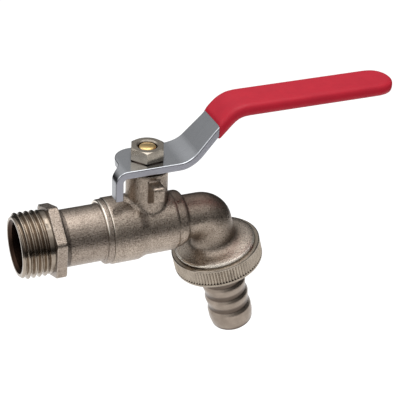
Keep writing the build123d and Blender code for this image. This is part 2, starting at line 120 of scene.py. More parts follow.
def weighed(tree, first, first_share, second, second_share):
    """Two values added up, each times its share."""
    return reckon(tree, "MULTIPLY_ADD", first, first_share, reckon(tree, "MULTIPLY", second, second_share))


def between(tree, mask, first, second):
    """Colour that goes from first to second as the mask goes from 0 to 1."""
    mix = put(tree, "ShaderNodeMix", {0: mask, 6: first, 7: second}, data_type="RGBA")
    return mix.outputs[2]


def spread(tree, value, low, high, to_low=0.0, to_high=1.0):
    """Value carried from one range to another and held at its ends."""
    carry = put(tree, "ShaderNodeMapRange", {0: value, 1: low, 2: high, 3: to_low, 4: to_high})
    return carry.outputs[0]


def graded(tree, mask, first, second):
    """Value that goes from first to second as the mask goes from 0 to 1."""
    return spread(tree, mask, 0.0, 1.0, first, second)


def surface(tree, kind):
    """X, Y and Z of a point's place on the piece (Object) or of its facing (Normal)."""
    where = put(tree, "ShaderNodeTexCoord").outputs[kind]
    return put(tree, "ShaderNodeSeparateXYZ", {0: where}).outputs


def noise(tree, where, scale, detail, roughness=0.5):
    """Cloudy value about 0.5 that gets finer as the scale grows."""
    values = {"Vector": where, "Scale": scale, "Detail": detail, "Roughness": roughness}
    return put(tree, "ShaderNodeTexNoise", values).outputs[0]


def new_group(name, inputs, outputs):
    """Empty shader node group with its sockets; returns the tree and its input and output nodes."""
    tree = bpy.data.node_groups.new(name, "ShaderNodeTree")
    for label, kind, value in inputs:
        tree.interface.new_socket(label, in_out="INPUT", socket_type=kind).default_value = value
    for label in outputs:
        tree.interface.new_socket(label, in_out="OUTPUT", socket_type="NodeSocketFloat")
    return tree, tree.nodes.new("NodeGroupInput").outputs, tree.nodes.new("NodeGroupOutput").inputs


def place(tree, group, values=None):
    """Puts a node group into a material with its own values."""
    return put(tree, "ShaderNodeGroup", values, node_tree=group).outputs


def bare_finish(name):
    """Material with an empty tree; returns it and the tree."""
    finish = bpy.data.materials.new(name)
    finish.use_nodes = True
    finish.node_tree.nodes.clear()
    return finish, finish.node_tree


def new_finish(name, metallic=1.0):
    """Material with nothing but its shader; returns it, its tree and the shader."""
    finish, tree = bare_finish(name)
    shader = put(tree, "ShaderNodeBsdfPrincipled", {"Metallic": metallic})
    put(tree, "ShaderNodeOutputMaterial", {0: shader.outputs[0]})
    return finish, tree, shader


def wire(tree, shader, **links):
    """Links sockets to the shader's inputs, with _ for a space in their names."""
    for name, socket in links.items():
        tree.links.new(socket, shader.inputs[name.replace("_", " ")])


def bumped(tree, height, softness=0.1 * MM):
    """Normal of a surface with a height in millimetres, its edges softened by a radius in metres."""
    edge = put(tree, "ShaderNodeBevel", {"Radius": softness}, samples=EDGE_SAMPLES).outputs[0]
    return put(tree, "ShaderNodeBump", {"Distance": MM, "Height": height, "Normal": edge}).outputs[0]


def dress(node, finish):
    """Gives a solid of the frame its finish."""
    node.data.materials.clear()
    node.data.materials.append(finish)


def new_piece(name, points, faces, finishes, choice=None, smooth_below=35):
    """Mesh object in millimetres of the row frame, smooth except at edges sharper than an angle."""
    mesh = bpy.data.meshes.new(name)
    mesh.from_pydata([Vector(point) * MM for point in points], [], faces)
    for finish in finishes:
        mesh.materials.append(finish)
    mesh.polygons.foreach_set("use_smooth", [True] * len(faces))
    if choice:
        mesh.polygons.foreach_set("material_index", choice)
    mesh.validate()
    mesh.set_sharp_from_angle(angle=math.radians(smooth_below))
    piece = bpy.data.objects.new(name, mesh)
    bpy.context.scene.collection.objects.link(piece)
    return piece


def softened_copy(name, solid, grid, passes, freedom, finish):
    """Fine even mesh over a solid of the frame, smoothed where freedom(points) is above 0."""
    bpy.context.view_layer.update()
    copied = bpy.data.objects.new("copied solid", solid.data.copy())
    bpy.context.scene.collection.objects.link(copied)
    even = copied.modifiers.new("even faces", "REMESH")
    even.mode = "VOXEL"
    even.voxel_size = grid * MM
    depsgraph = bpy.context.evaluated_depsgraph_get()
    mesh = bpy.data.meshes.new_from_object(copied.evaluated_get(depsgraph))
    bpy.data.objects.remove(copied)
    points = np.array([solid.matrix_world @ corner.co / MM for corner in mesh.vertices])
    first, second = np.array([edge.vertices for edge in mesh.edges]).T
    count = len(points)
    share = np.bincount(first, minlength=count) + np.bincount(second, minlength=count)
    free = freedom(points) * PASS_SHARE
    for _ in range(passes):
        moved = []
        for along in points.T:
            total = np.bincount(first, along[second], count) + np.bincount(second, along[first], count)
            moved.append(along + free * (total / share - along))
        points = np.stack(moved, axis=1)
    faces = [tuple(face.vertices) for face in mesh.polygons]
    return new_piece(name, points, faces, [finish], smooth_below=40)


def grain_group():
    """Shot-blasted grain: fine dimples, a sparkle of light and dark spots and a slow mottle."""
    sockets = [("Size", "NodeSocketFloat", 0.2), ("Mottle", "NodeSocketFloat", 4.0)]
    tree, taken, given = new_group("shot blast", sockets, ["Height", "Speck", "Cloud"])
    where = put(tree, "ShaderNodeTexCoord").outputs["Object"]
    fine = reckon(tree, "DIVIDE", 1 / MM, taken["Size"])
    slow = reckon(tree, "DIVIDE", 1 / MM, taken["Mottle"])
    dimple = put(tree, "ShaderNodeTexVoronoi", {"Vector": where, "Scale": fine}, feature="SMOOTH_F1")
    speck = noise(tree, where, reckon(tree, "MULTIPLY", fine, 0.85), 2.0, 0.6)
    cloud = noise(tree, where, slow, 4.0, 0.6)
    high = reckon(tree, "MULTIPLY_ADD", speck, 0.6, dimple.outputs["Distance"])
    tree.links.new(reckon(tree, "MULTIPLY", high, taken["Size"]), given["Height"])
    tree.links.new(speck, given["Speck"])
    tree.links.new(cloud, given["Cloud"])
    return tree


def rub_group():
    """Edges rubbed by hands and cloths: a mask that is 1 on sharp edges and uneven along them."""
    tree, taken, given = new_group("rubbed edges", [("Reach", "NodeSocketFloat", 0.4)], ["Mask"])
    reach = reckon(tree, "MULTIPLY", taken["Reach"], MM)
    round_normal = put(tree, "ShaderNodeBevel", {"Radius": reach}, samples=EDGE_SAMPLES).outputs[0]
    own_normal = put(tree, "ShaderNodeNewGeometry").outputs["Normal"]
    turn = reckon_vector(tree, "DOT_PRODUCT", {0: round_normal, 1: own_normal})["Value"]
    edge = spread(tree, turn, 1.0, 0.86)
    where = put(tree, "ShaderNodeTexCoord").outputs["Object"]
    uneven = spread(tree, noise(tree, where, RUB_PATCHES, 3.0), 0.35, 0.65, 0.35, 1.0)
    tree.links.new(reckon(tree, "MULTIPLY", edge, uneven), given["Mask"])
    return tree


def turning_group():
    """Marks of the lathe about an axis: how far along and how far out a point is, and fine rings."""
    sockets = [
        ("Centre", "NodeSocketVector", (0, 0, 0)),
        ("Axis", "NodeSocketVector", (1, 0, 0)),
        ("Feed", "NodeSocketFloat", 0.15),
    ]
    tree, taken, given = new_group("turning marks", sockets, ["Along", "Radius", "Height", "Tone"])
    where = put(tree, "ShaderNodeTexCoord").outputs["Object"]
    offset = reckon_vector(tree, "SUBTRACT", {0: where, 1: taken["Centre"]})[0]
    offset = reckon_vector(tree, "SCALE", {0: offset, 3: 1 / MM})[0]
    along = reckon_vector(tree, "DOT_PRODUCT", {0: offset, 1: taken["Axis"]})["Value"]
    across = reckon_vector(tree, "CROSS_PRODUCT", {0: offset, 1: taken["Axis"]})[0]
    radius = reckon_vector(tree, "LENGTH", {0: across})["Value"]
    path = reckon(tree, "DIVIDE", reckon(tree, "ADD", along, radius), taken["Feed"])
    rings = put(tree, "ShaderNodeTexNoise", {"W": path, "Scale": 1.0, "Detail": 2.0}, noise_dimensions="1D")
    tree.links.new(along, given["Along"])
    tree.links.new(radius, given["Radius"])
    tree.links.new(reckon(tree, "MULTIPLY", rings.outputs[0], taken["Feed"]), given["Height"])
    tree.links.new(rings.outputs[0], given["Tone"])
    return tree


def corner_shade_group():
    """Painted shade in corners and grooves: a mask from occlusion that is 1 deep inside them and patchy
    around.
    """
    tree, taken, given = new_group("painted corner shade", [("Reach", "NodeSocketFloat", 1.5)], ["Mask"])
    reach = reckon(tree, "MULTIPLY", taken["Reach"], MM)
    shelter = put(tree, "ShaderNodeAmbientOcclusion", {"Distance": reach}, samples=CORNER_SHADE_SAMPLES)
    closed = spread(tree, shelter.outputs["AO"], 0.75, 0.25)
    where = put(tree, "ShaderNodeTexCoord").outputs["Object"]
    uneven = spread(tree, noise(tree, where, CORNER_SHADE_PATCHES, 3.0), 0.3, 0.7, 0.6, 1.0)
    tree.links.new(reckon(tree, "MULTIPLY", closed, uneven), given["Mask"])
    return tree


shot_blast = grain_group()
rubbed_edges = rub_group()
painted_corner_shade = corner_shade_group()
turning_marks = turning_group()


def blasted_finish(name, light, dark, turned=None, under_lever=None, smoothed=None):
    """Blasted nickel: bright where turned(tree) is 1 (turned bands and painted highlight), darkened with
    painted lever shade where the shade mask is 1, even where smoothed is.
    """
    finish, tree, shader = new_finish(name)
    grain = place(tree, shot_blast, {"Size": BODY_GRAIN, "Mottle": BODY_MOTTLE})
    tone = weighed(tree, grain["Cloud"], 0.35, grain["Speck"], 1.65)
    colour = between(tree, spread(tree, tone, 0.72, 1.28), dark, light)
    bright = reckon(tree, "MULTIPLY", place(tree, rubbed_edges, {"Reach": BODY_RUB})["Mask"], 0.6)
    # Painted shade in corners and creases, found by occlusion.
    corner_darkening = place(tree, painted_corner_shade, {"Reach": BODY_CORNER_SHADE})["Mask"]
    softness = EDGE_SOFTNESS * MM
    # Painted shade of the lever on the upward faces of the chamber and the elbow.
    if under_lever:
        colour = between(tree, under_lever(tree), colour, LEVER_SHADE)
    if turned:
        bright = reckon(tree, "MAXIMUM", turned(tree), bright)
    if smoothed:
        even = smoothed(tree)
        corner_darkening = reckon(tree, "MULTIPLY", corner_darkening, graded(tree, even, 1.0, 0.15))
        softness = graded(tree, even, softness, ELBOW_SOFTNESS * MM)
    colour = between(tree, bright, colour, RUBBED_AND_HIGHLIGHT_NICKEL)
    colour = between(tree, corner_darkening, colour, CORNER_SHADE)
    rough = spread(tree, grain["Speck"], 0.3, 0.7, 0.26, 0.42)
    rough = graded(tree, bright, rough, 0.14)
    height = reckon(tree, "MULTIPLY", grain["Height"], graded(tree, bright, 0.27, 0.01))
    wire(tree, shader, Base_Color=colour, Roughness=rough, Normal=bumped(tree, height, softness))
    return finish


def turned_rim_and_chamfer_highlight(tree):
    """1 on the turned outer edge of the spout's disc, and on the socket's chamfer a painted highlight that
    grows towards its upper part.
    """
    inlet = place(tree, turning_marks)
    spout = place(tree, turning_marks, {"Centre": ELBOW_CENTRE, "Axis": SPOUT_AXIS})
    chamfer = reckon(tree, "LESS_THAN", inlet["Along"], SOCKET_CHAMFER_END)
    height = surface(tree, "Object")["Z"]
    # Painted highlight: the chamfer is brighter the higher it lies.
    chamfer_highlight = spread(tree, height, CHAMFER_HIGHLIGHT_START_Z * MM, CHAMFER_HIGHLIGHT_FULL_Z * MM, 0.1, 0.95)
    chamfer = reckon(tree, "MULTIPLY", chamfer, chamfer_highlight)
    rim = reckon(tree, "GREATER_THAN", spout["Radius"], DISC_RIM_RADIUS)
    polish = spread(tree, spout["Radius"], POLISH_START_RADIUS, POLISH_FULL_RADIUS, 0.0, POLISH_SHARE)
    low = reckon(tree, "GREATER_THAN", spout["Along"], DISC_TOP)
    disc = reckon(tree, "MULTIPLY", reckon(tree, "MAXIMUM", rim, polish), low)
    return reckon(tree, "MAXIMUM", chamfer, disc)


def painted_lever_shade(tree):
    """Towards 1 on top of the chamber and the elbow: painted shade and dark reflection of the lever above
    them.
    """
    along = place(tree, turning_marks)["Along"]
    onward = spread(tree, along, LEVER_SHADE_START, LEVER_SHADE_START + LEVER_SHADE_BLEND, 0.0, LEVER_SHADE_SHARE)
    high = spread(tree, surface(tree, "Object")["Z"], 0.0, LEVER_SHADE_FULL_Z * MM)
    upward = spread(tree, surface(tree, "Normal")["Z"], 0.45, 0.95)
    return reckon(tree, "MULTIPLY", upward, reckon(tree, "MULTIPLY", onward, high))


def spout_side(tree):
    """1 on the elbow and the flare under it, whose blends are worked smooth by hand."""
    return spread(tree, place(tree, turning_marks)["Along"], SPOUT_START, SPOUT_START + SPOUT_BLEND)


def corner_freedom(points):
    """Towards 1 on the outside of the elbow's inner corner, away from the waterway inside."""
    offset = points - (ELBOW_X, 0, 0)
    along = offset @ np.array(SPOUT_AXIS)
    from_spout = np.sqrt(np.maximum((offset**2).sum(axis=1) - along**2, 0))
    from_inlet = np.hypot(points[:, 1], points[:, 2])
    outside = np.clip((np.minimum(from_spout, from_inlet) - WATERWAY_CLEAR) / WATERWAY_BLEND, 0, 1)
    folded = np.stack([points[:, 0], np.abs(points[:, 1]), points[:, 2]], axis=1)
    far = np.linalg.norm(folded - ELBOW_CORNER, axis=1)
    return outside * np.clip((CORNER_REACH - far) / CORNER_BLEND, 0, 1)


body_finish = blasted_finish("blasted body", BLASTED_LIGHT, BLASTED_DARK, turned_rim_and_chamfer_highlight, painted_lever_shade, spout_side)
body_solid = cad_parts["valve_body"]
forged_body = softened_copy("forged_body", body_solid, BODY_GRID, BODY_PASSES, corner_freedom, body_finish)
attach(forged_body, "body")
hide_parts("valve_body")

# Inlet tail: turned from hexagon brass bar and screwed into the socket with a sealing compound.
# Its 1/2 inch pipe thread is cut after blasting and stays bright, and the collar's upper edge has a painted
# highlight.
# The bore keeps a thin, brownish plating over the bare brass, painted darker with shade deeper in.
INLET_CENTRE = (0, 0, 0)
INLET_AXIS = (1, 0, 0)
TAIL_COLUMNS = 240
THREAD_START = -1.16
THREAD_END = 7.6
THREAD_RUNOUT = 0.5
THREAD_PITCH = 1.814
THREAD_ROOT = 9.3175
THREAD_DEPTH = 1.16
THREAD_PHASE = 0.86
LEAD_TURNS = 2
FLANK_FOOT = ((0, 0), (0.08, 0.01), (0.16, 0.05), (0.22, 0.12), (0.5, 0.5))
FLANK_CREST = ((0.78, 0.88), (0.84, 0.95), (0.92, 0.99))
THREAD_FORM = FLANK_FOOT + FLANK_CREST
END_FACE_EDGE = 0.1
LAND_RADIUS = 10.05
LAND_END = 8.88
UNDERCUT_START = 8.95
UNDERCUT_DEPTH = 0.2
HEX_START = 9.1
HEX_END = 12.35
HEX_FLAT = 11.0
HEX_CORNER_AT = math.radians(-82.5)
HEX_BAR_RADIUS = 12.45
HEX_BEVEL_RADIUS = 12.1
HEX_BEVEL_LEAST = 0.12
HEX_BEVEL = math.tan(math.radians(28))
HEX_FOOT_ROUND = 1.3
BARREL_RADIUS = 9.1
BARREL_MIDDLE = 20.0
HEX_SHADOW_END = 14.3
COLLAR_START = 26.1
COLLAR_END = 28.0
COLLAR_RADIUS = 10.35
COLLAR_ROUND = 0.5
COLLAR_FACE_RADIUS = 9.55
COLLAR_FOOT_BEVEL = 0.15
COLLAR_BEVEL_LENGTH = 0.1
COLLAR_BEVEL_DEPTH = 0.08
COLLAR_HIGHLIGHT_ABOVE = 0.43
SPIGOT_RADIUS = 8.5
SPIGOT_END = 37.18
SEAT_POCKET_RADIUS = 7.02
SEAT_POCKET_FLOOR = 35.08
THROAT_RADIUS = 5.0
THROAT_START = 26.6
BORE_RADIUS = 7.6
BORE_END = 24.0
BORE_MIDDLE = 10.0
BORE_LIT_END = -1.0
BORE_SHADE_START = 5.0
MOUTH_START = -0.1
MOUTH_RADIUS = 8.5
MOUTH_RIM_RADIUS = 8.57
MOUTH_RIM_LENGTH = 0.05
GROOVE_SHADE_FADE = 0.06
FOOT_SHADOW_FADE = 0.1
BORE_BRASS = (0.075, 0.042, 0.028, 1)
BORE_SHADE = (0.012, 0.009, 0.008, 1)
TURNED_LIGHT = (0.46, 0.39, 0.32, 1)
TURNED_DARK = (0.24, 0.195, 0.152, 1)
BARREL_LIGHT = (0.48, 0.40, 0.335, 1)
BARREL_DARK = (0.20, 0.16, 0.13, 1)
# Painted shadow of the hexagon: darker colours for the barrel's foot next to it.
HEX_SHADOW_LIGHT = (0.20, 0.163, 0.137, 1)
HEX_SHADOW_DARK = (0.09, 0.072, 0.059, 1)
BLASTED, TURNED, BORED, HEX_SHADOW, COLLAR_HIGHLIGHT = range(5)


def turned_finish(
    name, centre, axis, light, dark, roughness, feed, lines, foot=None, groove=None, crown=None, reach=0.9
):
    """Turned metal: fine rings about an axis, uneven in tone, with painted shade in its corners, at its foot
    and in its grooves.
    """
    finish, tree, shader = new_finish(name)
    marks = place(tree, turning_marks, {"Centre": centre, "Axis": axis, "Feed": feed})
    grain = place(tree, shot_blast, {"Size": 0.3, "Mottle": 3.0})
    tone = spread(tree, weighed(tree, marks["Tone"], 0.4, grain["Cloud"], 0.7), 0.35, 0.75)
    colour = between(tree, tone, dark, light)
    rubbed = place(tree, rubbed_edges, {"Reach": 0.25})["Mask"]
    colour = between(tree, reckon(tree, "MULTIPLY", rubbed, 0.5), colour, RUBBED_AND_HIGHLIGHT_NICKEL)
    # Painted shade in corners, found by occlusion.
    colour = between(tree, place(tree, painted_corner_shade, {"Reach": reach})["Mask"], colour, CORNER_SHADE)
    # Painted shadow: a dark line at the foot, where the piece stands on the lever.
    if foot:
        foot_shadow = spread(tree, marks["Along"], foot - FOOT_SHADOW_FADE, foot + FOOT_SHADOW_FADE, 1.0, 0.0)
        colour = between(tree, foot_shadow, colour, CORNER_SHADE)
    # Painted shade in the grooves below a given radius.
    if groove:
        deep = spread(tree, marks["Radius"], groove - GROOVE_SHADE_FADE, groove + GROOVE_SHADE_FADE, 0.85, 0.0)
        colour = between(tree, deep, colour, CORNER_SHADE)
    height = reckon(tree, "MULTIPLY", marks["Height"], lines)
    if crown:
        fall = reckon(tree, "MULTIPLY", reckon(tree, "POWER", marks["Radius"], 2.0), crown)
        height = reckon(tree, "SUBTRACT", height, fall)
    rough = graded(tree, tone, roughness + 0.06, roughness - 0.04)
    wire(tree, shader, Base_Color=colour, Roughness=rough, Normal=bumped(tree, height))
    return finish


def bore_finish():
    """Inside of the waterway: dull brown plating over brass, darkened with painted shade the deeper it lies.
    """
    finish, tree, shader = new_finish("plated bore")
    marks = place(tree, turning_marks, {"Feed": 0.3})
    grain = place(tree, shot_blast, {"Size": 0.4, "Mottle": 4.0})
    # Painted shade: darker the deeper into the bore.
    near = spread(tree, marks["Along"], BORE_LIT_END, BORE_SHADE_START, 1.0, 0.0)
    shade = reckon(tree, "MULTIPLY", near, spread(tree, grain["Cloud"], 0.3, 0.7, 0.5, 1.0))
    colour = between(tree, shade, BORE_SHADE, BORE_BRASS)
    rough = spread(tree, marks["Tone"], 0.3, 0.7, 0.32, 0.5)
    height = reckon(tree, "MULTIPLY", marks["Height"], 0.05)
    wire(tree, shader, Base_Color=colour, Roughness=rough, Normal=bumped(tree, height))
    return finish


def tail_angle(column):
    """Angle of a column of points about the inlet axis, counted from a corner of the hexagon."""
    return HEX_CORNER_AT + 2 * math.pi * column / TAIL_COLUMNS


def quarter_turn(steps):
    """Angles from 0 to a right angle in even steps."""
    return [math.pi / 2 * step / steps for step in range(steps + 1)]


def hex_radius(angle):
    """Radius of the hexagon at an angle about the inlet axis, its corners rounded as the bar was drawn."""
    step = math.pi / 3
    return min(HEX_FLAT / math.cos((angle - HEX_CORNER_AT) % step - step / 2), HEX_BAR_RADIUS)


def hex_end(angle, face, into):
    """Rim of a hexagon end face, and the edge where its bevel meets the flats."""
    outer = hex_radius(angle)
    inner = min(outer - HEX_BEVEL_LEAST, HEX_BEVEL_RADIUS)
    return (face, inner), (face + into * (outer - inner) * HEX_BEVEL, outer)


def thread_radius(x, share):
    """Radius of the thread at a station, share being how far up its form the point lies."""
    lead = THREAD_ROOT + (x - THREAD_START)
    radius = min(THREAD_ROOT + THREAD_DEPTH * share, lead)
    runout = min(max((x - THREAD_END) / THREAD_RUNOUT + 1, 0), 1)
    return radius + (LAND_RADIUS - radius) * runout


def collar_finish(angle):
    """The collar's rounded edge has a painted highlight on its upper side and is blasted below."""
    return COLLAR_HIGHLIGHT if math.sin(angle) > COLLAR_HIGHLIGHT_ABOVE else BLASTED


def tail_stations():
    """Places along the tail after the thread, each with the finish of the band that ends there."""
    stations = [
        ((LAND_END, LAND_RADIUS), TURNED),
        ((UNDERCUT_START, LAND_RADIUS - UNDERCUT_DEPTH), TURNED),
        ((HEX_START, LAND_RADIUS - UNDERCUT_DEPTH), TURNED),
        (lambda angle: hex_end(angle, HEX_START, 1)[0], BLASTED),
        (lambda angle: hex_end(angle, HEX_START, 1)[1], BLASTED),
        (lambda angle: hex_end(angle, HEX_END, -1)[1], BLASTED),
        (lambda angle: hex_end(angle, HEX_END, -1)[0], BLASTED),
    ]
    # The foot round and the band after it carry the painted shadow of the hexagon.
    for lean in quarter_turn(8):
        x = HEX_END + HEX_FOOT_ROUND * (1 - math.cos(lean))
        stations.append(((x, BARREL_RADIUS + HEX_FOOT_ROUND * (1 - math.sin(lean))), HEX_SHADOW))
    stations += [
        ((HEX_SHADOW_END, BARREL_RADIUS), HEX_SHADOW),
        ((BARREL_MIDDLE, BARREL_RADIUS), BLASTED),
        ((COLLAR_START - COLLAR_FOOT_BEVEL, BARREL_RADIUS), BLASTED),
        ((COLLAR_START, BARREL_RADIUS + COLLAR_FOOT_BEVEL), BLASTED),
        ((COLLAR_START, COLLAR_FACE_RADIUS), BLASTED),
    ]
    for lean in quarter_turn(6):
        x = COLLAR_START + COLLAR_ROUND * (1 - math.cos(lean))
        stations.append(((x, COLLAR_RADIUS - COLLAR_ROUND * (1 - math.sin(lean))), collar_finish))
    stations += [
        ((COLLAR_END - COLLAR_BEVEL_LENGTH, COLLAR_RADIUS), BLASTED),
        ((COLLAR_END, COLLAR_RADIUS - COLLAR_BEVEL_DEPTH), TURNED),
        ((COLLAR_END, SPIGOT_RADIUS), TURNED),
        ((SPIGOT_END, SPIGOT_RADIUS), TURNED),
        ((SPIGOT_END, SEAT_POCKET_RADIUS), TURNED),
        ((SEAT_POCKET_FLOOR, SEAT_POCKET_RADIUS), TURNED),
        ((SEAT_POCKET_FLOOR, THROAT_RADIUS), BORED),
        ((THROAT_START, THROAT_RADIUS), BORED),
        ((BORE_END, BORE_RADIUS), BORED),
        ((BORE_MIDDLE, BORE_RADIUS), BORED),
        ((MOUTH_START, BORE_RADIUS), BORED),
        ((THREAD_START + MOUTH_RIM_LENGTH, MOUTH_RADIUS), BORED),
        ((THREAD_START, MOUTH_RIM_RADIUS), TURNED),
        ((THREAD_START, THREAD_ROOT - END_FACE_EDGE), TURNED),
    ]
    return stations


def make_inlet_tail():
    """The tail as one closed skin: the thread as a helix first, then rings to the far end and back inside."""
    form = [(c / 2, share) for c, share in THREAD_FORM]
    form += [(0.5, 1)] + [(1 - c / 2, share) for c, share in THREAD_FORM[:0:-1]]
    count = len(form)
    rows = count * (math.ceil((THREAD_END - THREAD_START) / THREAD_PITCH) + LEAD_TURNS)
    points, faces, choice = [], [], []

    def ring(station):
        first = len(points)
        for column in range(TAIL_COLUMNS):
            angle = tail_angle(column)
            x, radius = station(angle) if callable(station) else station
            points.append((x, radius * math.cos(angle), radius * math.sin(angle)))
        return [first + column for column in range(TAIL_COLUMNS)]

    def join(lower, upper, finish):
        for column in range(TAIL_COLUMNS):
            after = (column + 1) % TAIL_COLUMNS
            faces.append((lower[column], lower[after], upper[after], upper[column]))
            choice.append(finish(tail_angle(column)) if callable(finish) else finish)

    start = ring((THREAD_START, THREAD_ROOT))
    stop = ring((THREAD_END, LAND_RADIUS))
    known = {}

    def thread_point(column, row):
        if column == TAIL_COLUMNS:
            column, row = 0, row + count
        turns = row // count + form[row % count][0] + column / TAIL_COLUMNS + THREAD_PHASE - LEAD_TURNS
        x = THREAD_START + THREAD_PITCH * turns
        if x <= THREAD_START:
            return start[column]
        if x >= THREAD_END:
            return stop[column]
        if (column, row) not in known:
            radius = thread_radius(x, form[row % count][1])
            angle = tail_angle(column)
            known[column, row] = len(points)
            points.append((x, radius * math.cos(angle), radius * math.sin(angle)))
        return known[column, row]

    for column in range(TAIL_COLUMNS):
        for row in range(rows):
            around = [(column, row), (column + 1, row), (column + 1, row + 1), (column, row + 1)]
            corners = list(dict.fromkeys(thread_point(*spot) for spot in around))
            if len(corners) > 2:
                faces.append(corners)
                choice.append(TURNED)

    before = stop
    for station, finish in tail_stations():
        here = ring(station)
        join(before, here, finish)
        before = here
    join(before, start, TURNED)
    finishes = [
        blasted_finish("blasted tail", BARREL_LIGHT, BARREL_DARK),
        turned_finish(
            "bright thread", INLET_CENTRE, INLET_AXIS, TURNED_LIGHT, TURNED_DARK,
            roughness=0.2, feed=0.12, lines=0.06, reach=0.45,
        ),
        bore_finish(),
        # Painted shadow of the hexagon on the barrel.
        blasted_finish("shaded foot", HEX_SHADOW_LIGHT, HEX_SHADOW_DARK),
        # Painted highlight on the collar's upper edge.
        turned_finish(
            "painted collar highlight", INLET_CENTRE, INLET_AXIS, RUBBED_AND_HIGHLIGHT_NICKEL, RUBBED_AND_HIGHLIGHT_NICKEL,
            roughness=0.16, feed=0.12, lines=0.01,
        ),
    ]
    return new_piece("threaded_inlet_tail", points, faces, finishes, choice)


inlet_tail = make_inlet_tail()
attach(inlet_tail, "body")
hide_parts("inlet_tail")

# Ball and seats: a hard-chromed brass ball with a bore through it, polished after plating.
# It floats between two pressed rings of white fluoroplastic that seal on both sides.
STEM_X = 41.8
BALL_CENTRE = (STEM_X * MM, 0, 0)
CHROME_LIGHT = (0.78, 0.79, 0.80, 1)
CHROME_DARK = (0.58, 0.59, 0.60, 1)
SEAL_WHITE = (0.88, 0.88, 0.86, 1)
SEAL_GREY = (0.74, 0.73, 0.70, 1)


def seal_finish():
    """Waxy white fluoroplastic with faint cutting marks and smudges."""
    finish, tree, shader = new_finish("white seal", metallic=0.0)
    grain = place(tree, shot_blast, {"Size": 0.25, "Mottle": 2.5})
    colour = between(tree, spread(tree, grain["Cloud"], 0.4, 0.7), SEAL_WHITE, SEAL_GREY)
    rough = spread(tree, grain["Speck"], 0.3, 0.7, 0.38, 0.52)
    height = reckon(tree, "MULTIPLY", grain["Height"], 0.03)
    wire(tree, shader, Base_Color=colour, Roughness=rough, Normal=bumped(tree, height))
    return finish


ball_finish = turned_finish(
    "chromed ball", BALL_CENTRE, INLET_AXIS, CHROME_LIGHT, CHROME_DARK, roughness=0.12, feed=0.2, lines=0.01
)
dress(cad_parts["ball"], ball_finish)
white_seal = seal_finish()
for name in ("inlet_seat", "outlet_seat"):
    dress(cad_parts[name], white_seal)

# Stem with its seals: turned brass bar, pushed up through the chamber before the ball goes in.
# A fluoroplastic washer takes its thrust, and a gland nut squeezes the packing around it.
STEM_AXIS = (0, 0, 1)
STEM_CROWN = 0.07
BRASS_LIGHT = (0.93, 0.69, 0.32, 1)
BRASS_DARK = (0.60, 0.39, 0.15, 1)

stem_brass = turned_finish(
    "stem brass", BALL_CENTRE, STEM_AXIS, BRASS_LIGHT, BRASS_DARK,
    roughness=0.16, feed=0.14, lines=0.03, crown=STEM_CROWN,
)
for name in ("stem", "gland_nut"):
    dress(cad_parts[name], stem_brass)
for name in ("thrust_washer", "stem_packing"):
    dress(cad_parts[name], white_seal)

# Lever: blanked from steel strip, bent up towards the grip and down at the stop tab, then zinc plated.
# Its top is bright and cool and its sheared sides are duller; the tab's face and the underside are darkened
# with painted shade.
ROLLING_STREAKS = (90, 2200, 300)
ZINC_LIGHT = (0.56, 0.575, 0.60, 1)
ZINC_DARK = (0.46, 0.475, 0.50, 1)
SHEARED_ZINC = (0.38, 0.38, 0.42, 1)
UNDERSIDE_SHADE_ZINC = (0.30, 0.31, 0.33, 1)


def zinc_finish():
    """Bright zinc on rolled strip, with faint rolling streaks and sheared sides; the tab and the underside
    carry painted shade.
    """
    finish, tree, shader = new_finish("zinc lever")
    where = put(tree, "ShaderNodeTexCoord").outputs["Object"]
    stretch = put(tree, "ShaderNodeMapping", {"Vector": where, "Scale": ROLLING_STREAKS})
    streak = noise(tree, stretch.outputs[0], 1.0, 4.0)
    grain = place(tree, shot_blast, {"Size": 0.35, "Mottle": 9.0})
    facing = surface(tree, "Normal")
    side = spread(tree, reckon(tree, "ABSOLUTE", facing["Y"]), 0.6, 0.9)
    under = spread(tree, facing["Z"], -0.3, -0.6)
    tab = spread(tree, facing["X"], -0.6, -0.85)
    tone = spread(tree, weighed(tree, streak, 0.5, grain["Cloud"], 0.5), 0.3, 0.7)
    colour = between(tree, tone, ZINC_DARK, ZINC_LIGHT)
    colour = between(tree, side, colour, SHEARED_ZINC)
    # Painted shade on the underside and on the tab's outer face.
    colour = between(tree, reckon(tree, "MAXIMUM", under, tab), colour, UNDERSIDE_SHADE_ZINC)
    # Painted shade in the lever's corners, found by occlusion.
    colour = between(tree, place(tree, painted_corner_shade, {"Reach": 1.2})["Mask"], colour, CORNER_SHADE)
    rough = graded(tree, side, graded(tree, tone, 0.26, 0.16), 0.36)
    lift = reckon(tree, "MULTIPLY", grain["Height"], graded(tree, side, 0.006, 0.07))
    height = reckon(tree, "MULTIPLY_ADD", streak, 0.003, lift)
    wire(tree, shader, Base_Color=colour, Roughness=rough, Normal=bumped(tree, height))
    return finish


dress(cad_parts["lever"], zinc_finish())

# Grip sleeve: red soft vinyl, dipped over the outer half of the lever, so it follows the bend.
# The dipping leaves its outer edges rounded, and it ends in a thin lip on the bare steel.
SLEEVE_RED = (0.61, 0.009, 0.032, 1)
SLEEVE_DEEP = (0.54, 0.006, 0.028, 1)
SLEEVE_GRID = 0.4
SLEEVE_PASSES = 40
SLEEVE_HELD = 0.25
SLEEVE_BLEND = 0.45


